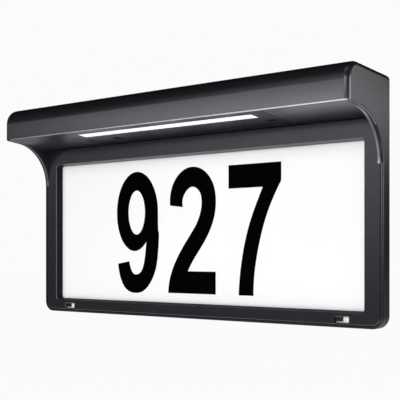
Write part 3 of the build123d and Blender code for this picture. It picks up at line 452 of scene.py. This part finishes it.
thread = 0.0004
finish = Finish("backing_board")
weave_x = finish.along("X").folded(thread) * (1 / thread)
weave_y = finish.along("Y").folded(thread) * (1 / thread)
fibre = weave_x * weave_y
backing_board = finish.surface(
    Base_Color=finish.mix(fibre, colour(0.62, 0.63, 0.6), colour(0.8, 0.8, 0.78)),
    Roughness=0.4 + 0.15 * fibre,
    Normal=finish.bump(fibre, 0.00001),
)
print("strip step:", round(strip_step * 1000, 2), "mm")

# %% [markdown]
# ## Rubber, foam and metal
# Rubber parts are the button, the panel's seal and the back cover's gasket. They are dark, dull
# and slightly mottled. The steel parts are plated or blackened, and fine streaks in their
# roughness come from noise that is squeezed along one axis. The rubbers differ only in their
# shade and the steels in a few numbers, so each kind has one function that takes them. Foam has
# open cells, which Voronoi cells give.

# %% Make rubber, foam and metal


def rubber(name, shade):
    finish = Finish(name)
    mottle = finish.noise(900.0, 4.0, 0.6)
    bloom = finish.noise(45.0, 2.0)
    return finish.surface(
        Base_Color=finish.mix(bloom, shaded(shade, 0.8), colour(*shade)),
        Roughness=0.52 + 0.12 * bloom + 0.08 * mottle,
        Specular_IOR_Level=0.3,
        Normal=finish.bump(mottle, 0.00002),
    )


def steel(name, shade, metallic, roughness):
    finish = Finish(name)
    streak = finish.noise(500.0, 3.0, 0.6, stretch=(1.0, 1.0, 14.0))
    stain = finish.noise(120.0, 3.0)
    return finish.surface(
        Base_Color=finish.mix(stain, shaded(shade, 0.85), colour(*shade)),
        Metallic=metallic,
        Roughness=roughness + 0.14 * streak,
        Normal=finish.bump(streak, 0.000004),
    )


button_rubber = rubber("button_rubber", (0.012, 0.012, 0.0125))
seal_rubber = rubber("seal_rubber", (0.016, 0.016, 0.016))
plated_steel = steel("plated_steel", (0.62, 0.61, 0.58), 1.0, 0.22)
black_steel = steel("black_steel", (0.03, 0.03, 0.032), 0.8, 0.3)

finish = Finish("pad_foam")
cells = finish.node("ShaderNodeTexVoronoi", None, {"Vector": finish.place(), "Scale": 2200.0})
pad_foam = finish.surface(
    Base_Color=finish.mix(cells, colour(0.12, 0.12, 0.12), colour(0.24, 0.24, 0.25)),
    Roughness=0.85 + 0.1 * cells,
    Normal=finish.bump(cells, 0.0001),
)
soft_and_metal = [button_rubber, seal_rubber, plated_steel, black_steel]
print("rubber and metal:", [material.name for material in soft_and_metal])

# %% [markdown]
# ## Electronics
# The boards are woven glass and resin under a coloured lacquer. Copper tracks show through it as
# slightly raised lines, lighter on the green board and darker on the white one. Real tracks
# follow a circuit, but nobody can trace it inside a closed sign, so brick cells give a believable
# maze of straight ones. The battery cells wear a printed sleeve with bare metal at both ends,
# which a step along their length divides.

# %% Make the electronic finishes


def board(name, lacquer, track):
    finish = Finish(name)
    flat = {"Vector": finish.place(), "Scale": (1.0, 1.0, 0.0)}
    settings = {"offset": 0.37, "offset_frequency": 2, "squash": 0.6, "squash_frequency": 3}
    inputs = {
        "Vector": finish.node("ShaderNodeMapping", None, flat),
        "Scale": 160.0,
        "Mortar Size": 0.05,
        "Mortar Smooth": 0.1,
        "Brick Width": 0.9,
        "Row Height": 0.28,
    }
    tracks = finish.node("ShaderNodeTexBrick", settings, inputs, output="Fac")
    cloth = finish.noise(1400.0, 2.0)
    under = finish.mix(cloth, shaded(lacquer, 0.8), colour(*lacquer))
    return finish.surface(
        Base_Color=finish.mix(tracks, under, colour(*track)),
        Roughness=0.28 + 0.1 * cloth,
        Normal=finish.bump(tracks, 0.00003),
    )


green_board = board("green_board", (0.012, 0.11, 0.04), (0.03, 0.2, 0.08))
white_board = board("white_board", (0.82, 0.83, 0.82), (0.7, 0.71, 0.7))

finish = Finish("part_resin")
grit = finish.noise(2500.0, 3.0)
part_resin = finish.surface(
    Base_Color=finish.mix(grit, colour(0.02, 0.02, 0.021), colour(0.045, 0.045, 0.047)),
    Roughness=0.4 + 0.15 * grit,
    Normal=finish.bump(grit, 0.00001),
)

finish = Finish("led_body")
speckle = finish.noise(2500.0, 2.0)
led_body = finish.surface(
    Base_Color=finish.mix(speckle, colour(0.85, 0.85, 0.82), colour(0.92, 0.92, 0.9)),
    Roughness=0.3 + 0.1 * speckle,
)

finish = Finish("phosphor_gel")
speckle = finish.noise(5000.0, 2.0)
phosphor_gel = finish.surface(
    Base_Color=finish.mix(speckle, colour(0.8, 0.62, 0.1), colour(0.9, 0.78, 0.2)),
    Roughness=0.15 + 0.1 * speckle,
)

cells_low, cells_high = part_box("battery_cells")
cells_middle = (cells_low[0] + cells_high[0]) / 2
cell_half = (cells_high[0] - cells_low[0]) / 2
bare_end = 0.0022
cap_end = 0.0012
finish = Finish("cell_sleeve")
from_middle = abs(finish.along("X") - cells_middle)
bare = from_middle > cell_half - bare_end
ring = bare * (from_middle < cell_half - cap_end)
wrap = finish.noise(300.0, 3.0)
sleeve = finish.mix(wrap, colour(0.03, 0.16, 0.34), colour(0.04, 0.2, 0.42))
metal = finish.mix(ring, colour(0.6, 0.6, 0.58), colour(0.8, 0.8, 0.78))
cell_sleeve = finish.surface(
    Base_Color=finish.mix(bare, sleeve, metal),
    Metallic=bare * (1.0 - ring),
    Roughness=0.22 + 0.08 * wrap,
    Normal=finish.bump(wrap, 0.000008),
)


def insulation(name, shade):
    finish = Finish(name)
    smear = finish.noise(700.0, 3.0)
    return finish.surface(
        Base_Color=finish.mix(smear, shaded(shade, 0.75), colour(*shade)),
        Roughness=0.3 + 0.1 * smear,
        Normal=finish.bump(smear, 0.00001),
    )


red_lead = insulation("red_lead", (0.45, 0.02, 0.015))
black_lead = insulation("black_lead", (0.016, 0.016, 0.017))
print("finishes in all:", len(bpy.data.materials))

# %% [markdown]
# ## Dressing the CAD nodes
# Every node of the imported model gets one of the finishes. The nodes stay where they are and keep
# their shapes, because the joints and the other tools rely on them. The last line names any node
# that was left out.

# %% Put the finishes on the CAD nodes
painted = set()


def paint(material, *names):
    """Give CAD nodes one finish in every slot."""
    for name in names:
        mesh = nodes[name].data
        mesh.materials.clear()
        mesh.materials.append(material)
        painted.add(name)


paint(housing_plastic, "outer_housing")
paint(liner_plastic, "hood_liner", "cheek_inserts")
paint(cover_plastic, "light_cover")
paint(frame_plastic, "front_frame")
paint(back_plastic, "back_cover")
paint(tray_plastic, "battery_holder")
paint(white_plastic, "catch_slide_left", "catch_slide_right")
paint(nib_plastic, "catch_nib_left", "catch_nib_right")
paint(plate_sheet, "number_plate")
paint(digit_film, "digit_nine", "digit_two", "digit_seven")
paint(pad_foam, "plate_pads")
paint(lens_plastic, "light_lens")
paint(reflector_plastic, "led_reflector")
paint(white_board, "led_board")
paint(led_body, "leds")
paint(button_rubber, "mode_button")
paint(switch_plastic, "switch_plunger", "button_switch")
paint(green_board, "control_board")
paint(part_resin, "board_parts")
paint(plated_steel, "board_screws", "battery_contacts")
paint(black_steel, "light_cover_screws", "back_screws")
paint(cell_sleeve, "battery_cells")
paint(seal_rubber, "cover_gasket", "solar_seal")
paint(panel_cover, "solar_glass")
paint(silicon_strip, "solar_cells")
paint(backing_board, "solar_backing")
paint(red_lead, "solar_lead", "battery_lead")
paint(black_lead, "led_lead")
print("nodes without a finish:", sorted(set(nodes) - painted))

# %% [markdown]
# ## Pieces that are made here
# A new piece on one of the hood's slopes starts round the origin, where its shape is easy to
# describe. A matrix then carries it to its seat on the sign and turns the piece's own up into the
# up of the ceiling or the roof. The object could be moved instead, but the matrix goes into the
# mesh, so that the object itself stays at the origin, unturned, as the CAD nodes do. A second
# helper turns the finished bmesh into an object and says which body of the sign it rides on.

# %% Set up helpers for new pieces


def seat(point, tilt):
    """Matrix that carries a piece to a point on a surface that slopes by an angle about X."""
    return Matrix.Translation(point) @ Matrix.Rotation(-tilt, 4, "X")


def piece(name, build, material, body="sign_body", replaced=None, sharp=35):
    """Turn a finished bmesh into an object of the sign."""
    bmesh.ops.remove_doubles(build, verts=build.verts, dist=0.000001)
    bmesh.ops.recalc_face_normals(build, faces=build.faces)
    for face in build.faces:
        face.smooth = True
    mesh = bpy.data.meshes.new(name)
    build.to_mesh(mesh)
    build.free()
    mesh.set_sharp_from_angle(angle=radians(sharp))
    mesh.materials.append(material)
    made = bpy.data.objects.new(name, mesh)
    bpy.context.scene.collection.objects.link(made)
    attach(made, body)
    if replaced:
        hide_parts(replaced)
    print(name, "faces:", len(mesh.polygons))


def middle(node):
    """Centre of a CAD node's box."""
    low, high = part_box(node)
    return (Vector(low) + Vector(high)) / 2


axes = {joint["name"]: joint["axis"] for joint in frame["record"]["behaviour"]["joints"]}
ceiling_up = Vector(axes["mode_button_press"])
ceiling_tilt = atan(ceiling_up.y / ceiling_up.z)
print("ceiling slopes by", round(ceiling_tilt * 180 / pi, 2), "degrees")

# %% [markdown]
# ## Cap of the mode button
# Such a button is a soft round cap with a shallow dish for the fingertip, a small raised dot that
# the finger can find in the dark, a flange that stops it falling out, and a stem that works the
# switch. Stacked cylinders could give it, but everything about it is round, so its outline is
# drawn once as a few points and spun about the axis, which makes one closed skin.

# %% Spin the button cap
cap_radius = 0.0045
rim_height = 0.0005
flange_radius = 0.0056
flange_low = 0.0019
flange_high = 0.0027
stem_radius = 0.0015
stem_top = 0.0041
button_centre = middle("mode_button")
button_y = button_centre.y - (stem_top + rim_height) / 2 * sin(ceiling_tilt)
button_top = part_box("mode_button")[1][2]
button_z = button_top - stem_top * cos(ceiling_tilt) - stem_radius * sin(ceiling_tilt)
stem = [(0.0, stem_top), (stem_radius, stem_top), (stem_radius, flange_high)]
flange = [(flange_radius, flange_high), (flange_radius, flange_low), (cap_radius, flange_low)]
rim = [(cap_radius, 0.0009), (0.00438, 0.00062), (0.0041, rim_height), (0.0035, 0.00055)]
dish = [(0.0028, 0.0008), (0.0018, 0.00098), (0.0008, 0.00102)]
dot = [(0.0005, 0.00086), (0.0, 0.00082)]
outline = stem + flange + rim + dish + dot
build = bmesh.new()
points = [build.verts.new((radius, 0, height)) for radius, height in outline]
edges = [build.edges.new(pair) for pair in zip(points, points[1:])]
bmesh.ops.spin(
    build, geom=points + edges, cent=(0, 0, 0), axis=(0, 0, 1), angle=2 * pi, steps=48,
    use_merge=True,
)
place = seat((button_centre.x, button_y, button_z), ceiling_tilt)
bmesh.ops.transform(build, matrix=place, verts=build.verts)
piece("button_cap", build, button_rubber, "mode_button", "mode_button")

# %% [markdown]
# ## Grips of the catches
# Each catch is pushed with a fingernail, so its black nib is ribbed across the way it slides. The
# ribs could be bars that are laid on a block, but then they would only touch it. Instead the nib
# is one block that is cut into strips. Every second strip of its front is pushed in to leave a
# rib between two grooves, and a fine bevel takes the sharpness off all the edges.

# %% Model the ribbed grips
strips = 7
groove_depth = 0.00035
groove_margin = 0.00009
rib_bevel = 0.00008
for side in ("left", "right"):
    low, high = (Vector(corner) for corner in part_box("catch_nib_" + side))
    size = high - low
    build = bmesh.new()
    bmesh.ops.create_cube(build, size=1.0)
    bmesh.ops.scale(build, vec=size, verts=build.verts)
    bmesh.ops.translate(build, vec=(low + high) / 2, verts=build.verts)
    for cut in range(1, strips):
        everything = build.verts[:] + build.edges[:] + build.faces[:]
        at = (low.x + cut * size.x / strips, 0, 0)
        bmesh.ops.bisect_plane(build, geom=everything, plane_co=at, plane_no=(1, 0, 0))
    fronts = [face for face in build.faces if face.normal.y < -0.9]
    fronts.sort(key=lambda face: face.calc_center_median().x)
    grooves = fronts[1::2]
    bmesh.ops.inset_individual(build, faces=grooves, thickness=groove_margin, depth=0.0)
    bmesh.ops.translate(
        build, vec=(0, groove_depth, 0), verts=list({v for face in grooves for v in face.verts})
    )
    bmesh.ops.bevel(
        build, geom=[e for e in build.edges if e.calc_face_angle(0) > 1.0], offset=rib_bevel,
        segments=2, profile=0.5, affect="EDGES", material=-1, clamp_overlap=True,
    )
    piece("grip_" + side, build, nib_plastic, "catch_" + side, "catch_nib_" + side)

# %% [markdown]
# ## Light windows of the LEDs
# Each LED package has a round well of yellow phosphor gel in its face. A half sphere would stand
# too tall, so the gel is a low, tapered disc, which a cone with its top cut off gives. Its faces
# are shaded smooth, so it reads as a dome. The same disc is made at the place of every LED in the
# row.

# %% Model the gel domes
gel_radius = 0.00105
gel_rise = 0.00012
led_half_height = 0.0004
led_half_width = 0.0015
led_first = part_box("leds")[0][0] + led_half_width
led_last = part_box("leds")[1][0] - led_half_width
led_row = middle("leds")
build = bmesh.new()
for index in range(led_count):
    x = led_first + index * (led_last - led_first) / (led_count - 1)
    to_face = Matrix.Translation((0, 0, -led_half_height))
    place = seat((x, led_row.y, led_row.z), ceiling_tilt) @ to_face
    bmesh.ops.create_cone(
        build, cap_ends=True, segments=16, radius1=0.6 * gel_radius, radius2=gel_radius,
        depth=2 * gel_rise, matrix=place,
    )
piece("led_gel", build, phosphor_gel, sharp=60)

# %% [markdown]
# ## Ribbons between the solar strips
# Flat tinned ribbons join one strip of the solar panel to the next. The shader draws only on the
# strips and can't bridge the gaps between them, so the ribbons are shapes. Each is a thin tongue
# across one gap, in line with the strips' printed bars. A bevel takes off its sharp edges.

# %% Model the ribbons
ribbon_width = 0.0012
ribbon_thickness = 0.00016
ribbon_share = 0.94          # of the gap between two strips
ribbon_bevel = 0.00004
glass_thickness = 0.0011
glass_low, glass_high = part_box("solar_glass")
glass_rise = glass_high[2] - glass_low[2] - glass_thickness
roof_tilt = atan(glass_rise / (glass_high[1] - glass_low[1]))
row = middle("solar_cells")
build = bmesh.new()
for gap in range(1, strip_count):
    x = strip_low[0] - strip_gap / 2 + gap * strip_step
    for across in (-bar_offset, bar_offset):
        place = seat((x, row.y, row.z), roof_tilt) @ Matrix.Translation((0, across, 0))
        size = Matrix.Diagonal((ribbon_share * strip_gap, ribbon_width, ribbon_thickness, 1.0))
        bmesh.ops.create_cube(build, size=1.0, matrix=place @ size)
bmesh.ops.bevel(
    build, geom=build.edges[:], offset=ribbon_bevel, segments=1, profile=0.5, affect="EDGES",
    material=-1,
)
piece("strip_ribbons", build, plated_steel)
print("roof slopes by", round(roof_tilt * 180 / pi, 2), "degrees")

# %% [markdown]
# ## Floor
# The photograph has a plain white surround. A floor could be lit until it looks white, but so
# much light would wash out the sign. So a wide pale floor lies well below the sign and glows
# white for the camera alone, which the Is Camera Ray output of Light Path mixes in. For every
# other ray it stays matt paint.

# %% Make the floor
bpy.context.scene.view_settings.view_transform = "Standard"
floor_half = 20.0
floor_drop = 0.7             # below the middle of the sign

floor_mesh = bpy.data.meshes.new("floor")
build = bmesh.new()
bmesh.ops.create_grid(build, x_segments=1, y_segments=1, size=floor_half)
bmesh.ops.translate(build, verts=build.verts, vec=(0, 0, -floor_drop))
build.to_mesh(floor_mesh)
build.free()
floor = bpy.data.objects.new("floor", floor_mesh)
bpy.context.scene.collection.objects.link(floor)

finish = Finish("floor_paint")
speck = finish.noise(30.0, 3.0)
pale = finish.mix(speck, colour(0.86, 0.86, 0.86), colour(0.9, 0.9, 0.9))
matt = finish.node("ShaderNodeBsdfDiffuse", None, {"Color": pale, "Roughness": 0.5})
glow = {"Color": colour(1.0, 1.0, 1.0), "Strength": 1.0}
white = finish.node("ShaderNodeEmission", None, glow)
seen = finish.node("ShaderNodeLightPath", output="Is Camera Ray")
whiteness = 0.95
blend = {"Fac": whiteness * seen, 1: matt, 2: white}
finish.output(finish.node("ShaderNodeMixShader", None, blend))
floor_mesh.materials.append(finish.material)
print("floor:", [round(v, 2) for v in floor.dimensions])

# %% [markdown]
# ## World
# Glossy black plastic shows little but reflections, so the world is drawn as what each face
# should mirror. A photograph of a studio could be wrapped round the sign, but two curves are
# easier to read and to change, and the brightness is their product. One runs with the height: a
# long strip of light about nine degrees up, weaker below it and dark overhead, gives the hood its
# pale front and dark roof. The other runs with the direction: the strip is brightest about thirty
# degrees to the left of straight ahead and fades further to the left, so its reflection fades
# along the sign from right to left. To the camera and through clear plastic the world is plain
# white instead, which the outputs of Light Path give without any more light on the sign.

# %% Make the world
world = bpy.data.worlds.new("world")
bpy.context.scene.world = world
studio = Finish("studio", world)
direction = studio.node("ShaderNodeTexCoord", output="Generated")
right = studio.node("ShaderNodeSeparateXYZ", None, {0: direction}, "X")
back = studio.node("ShaderNodeSeparateXYZ", None, {0: direction}, "Y")
rise = studio.node("ShaderNodeSeparateXYZ", None, {0: direction}, "Z")
brightest = 13.0
by_height = [  # elevation in degrees, level
    (-90, 0.5), (-3, 0.6), (0, 0.9), (1.5, 1.5), (4.5, 2.9), (7, 3.2), (9.2, brightest),
    (10.4, 6.0), (13, 1.8), (20, 1.3), (34, 0.84), (48, 0.5), (62, 0.34), (80, 0.2),
]
by_direction = [  # azimuth in degrees, share of that level
    (-110, 0.002), (-85, 0.006), (-68, 0.02), (-57, 0.02), (-51, 0.07), (-48, 0.28), (-41, 0.56),
    (-36, 0.78), (-31, 1.02), (-24, 1.05), (-10, 0.45), (10, 0.16), (70, 0.2), (105, 0.3),
    (130, 0.05), (180, 0.01),
]
height_stops = [(0.5 + 0.5 * sin(radians(e)), (v / brightest,) * 3) for e, v in by_height]
turn_stops = [(0.5 + azimuth / 360, (v,) * 3) for azimuth, v in by_direction]
turn = studio.math("ARCTAN2", right, 0.0 - back) * (0.5 / pi)
wall = studio.ramp(0.5 + 0.5 * rise, height_stops)
sweep = studio.ramp(0.5 + turn, turn_stops)
band = studio.node("ShaderNodeVectorMath", {"operation": "MULTIPLY"}, {0: wall, 1: sweep})
to_camera = studio.node("ShaderNodeLightPath", output="Is Camera Ray")
through = studio.node("ShaderNodeLightPath", output="Is Transmission Ray")
plain = to_camera.larger(through)
paper = 0.965
backdrop = studio.mix(plain, band, colour(paper, paper, paper))
level = brightest - (brightest - 1.0) * plain
background = {"Color": backdrop, "Strength": level}
studio.output(studio.node("ShaderNodeBackground", None, background), "ShaderNodeOutputWorld")
print("world nodes:", len(studio.tree.nodes))

# %% [markdown]
# ## Lamps
# The world draws the reflections, and the lamps do the rest. They are softboxes of the same kind,
# each given by its direction, distance, size and level, because small or bare lamps would draw
# hard spots on the plastic. Two in front, one high and one low, light the white plate evenly. The
# sloped ceiling mirrors the plate, so the low one brightens the ceiling too. One at the side
# draws the pale line down the hood's rounded corner, one behind on the right lights the side
# wall, and a weak one overhead keeps the roof from going fully black.

# %% Hang the lamps
lamp_target = Vector((0, -0.03, 0))


def softbox(name, azimuth, elevation, distance, width, height, brightness):
    """A rectangular lamp that faces the sign. Azimuth 0 is ahead of it, positive to its right."""
    across = radians(azimuth)
    up = radians(elevation)
    aim = Vector((-sin(across) * cos(up), cos(across) * cos(up), -sin(up)))
    data = bpy.data.lights.new(name, "AREA")
    data.shape = "RECTANGLE"
    data.size = width
    data.size_y = height
    data.energy = brightness * pi * width * height
    lamp = bpy.data.objects.new(name, data)
    lamp.location = lamp_target - distance * aim
    lamp.rotation_euler = aim.to_track_quat("-Z", "Y").to_euler()
    bpy.context.scene.collection.objects.link(lamp)
    print(name, "at", [round(v, 2) for v in lamp.location], round(data.energy, 1), "W")


softbox("fill_front", 12, 22, 3.0, 2.2, 0.8, 6.4)
softbox("fill_low", 8, -27, 1.3, 0.9, 0.45, 4.7)
softbox("top", 10, 70, 2.2, 1.6, 1.2, 0.8)
softbox("side", 112, 10, 2.4, 0.8, 0.8, 11.0)
softbox("back_right", 139, 18, 2.4, 0.85, 1.0, 1.7)
